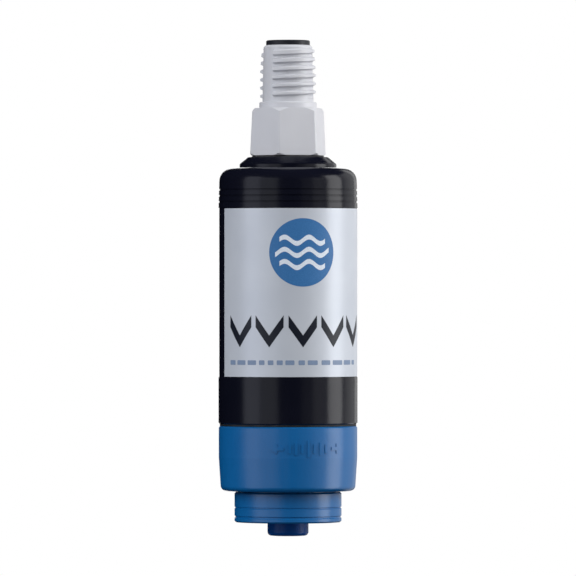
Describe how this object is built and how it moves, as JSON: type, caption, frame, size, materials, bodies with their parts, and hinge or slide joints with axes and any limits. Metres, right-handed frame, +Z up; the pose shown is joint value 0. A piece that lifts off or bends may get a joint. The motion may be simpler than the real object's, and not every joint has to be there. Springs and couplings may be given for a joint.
{
  "type": "inline water filter",
  "caption": "Cylindrical inline hollow-fibre water filter: threaded inlet nipple on a hexagon, screw-on housing and end cap, push-pull outlet nozzle.",
  "frame": {"origin": "on the cartridge axis, on the top face of the inlet hexagon, where it seats under the wall or tank it hangs from", "axes": "+Z up along the cartridge axis, out through the inlet nipple; the front of the printed sleeve faces -Y"},
  "size_m": [0.0508, 0.0508, 0.181],
  "materials": {
    "housing_black": "gloss",
    "cap_blue": "semi-gloss",
    "nozzle_blue": "semi-gloss",
    "fitting_white": "satin",
    "sleeve_silver": "satin",
    "seal_rubber": "matte",
    "screen_steel": "satin",
    "strainer_black": "satin",
    "ring_white": "satin",
    "fibre_white": "matte",
    "cage_grey": "satin",
    "cup_blue": "satin",
    "potting_amber": "satin"
  },
  "bodies": {
    "adapter": {"inlet_adapter": "fitting_white", "strainer_screen": "screen_steel", "strainer_sleeve": "strainer_black"},
    "inlet_seal": {"inlet_gasket": "seal_rubber"},
    "housing": {"housing": "housing_black", "label": "sleeve_silver", "fibre_cage": "cage_grey", "fibre_bundle": "fibre_white", "potting_block": "potting_amber", "potting_cup": "cup_blue", "module_o_ring_upper": "seal_rubber", "module_o_ring_lower": "seal_rubber"},
    "cap_seal": {"end_cap_gasket": "seal_rubber"},
    "end_cap": {"end_cap": "cap_blue", "valve_seat": "ring_white"},
    "nut_seal": {"outlet_gasket": "seal_rubber"},
    "outlet_nut": {"outlet_nut": "cap_blue"},
    "nozzle": {"outlet_nozzle": "nozzle_blue", "nozzle_o_ring_upper": "seal_rubber", "nozzle_o_ring_lower": "seal_rubber"}
  },
  "joints": [
    {"name": "housing_drop", "type": "slide", "parent": "adapter", "child": "inlet_seal", "axis": [0, 0, -1], "range_m": [0, 0.015]},
    {"name": "housing_turn", "type": "hinge", "parent": "inlet_seal", "child": "housing", "pos_m": [0, 0, -0.02], "axis": [0, 0, -1], "range_deg": [0, 1800]},
    {"name": "end_cap_drop", "type": "slide", "parent": "housing", "child": "cap_seal", "axis": [0, 0, -1], "range_m": [0, 0.015]},
    {"name": "end_cap_turn", "type": "hinge", "parent": "cap_seal", "child": "end_cap", "pos_m": [0, 0, -0.116], "axis": [0, 0, -1], "range_deg": [0, 1800]},
    {"name": "nut_drop", "type": "slide", "parent": "end_cap", "child": "nut_seal", "axis": [0, 0, -1], "range_m": [0, 0.00875]},
    {"name": "nut_turn", "type": "hinge", "parent": "nut_seal", "child": "outlet_nut", "pos_m": [0, 0, -0.146], "axis": [0, 0, -1], "range_deg": [0, 1260]},
    {"name": "nozzle_pull", "type": "slide", "parent": "end_cap", "child": "nozzle", "axis": [0, 0, -1], "range_m": [0, 0.0044]}
  ],
  "couplings": [
    {"joint": "housing_drop", "follows": "housing_turn", "m_per_rad": 0.00047746},
    {"joint": "end_cap_drop", "follows": "end_cap_turn", "m_per_rad": 0.00047746},
    {"joint": "nut_drop", "follows": "nut_turn", "m_per_rad": 0.00039789}
  ]
}
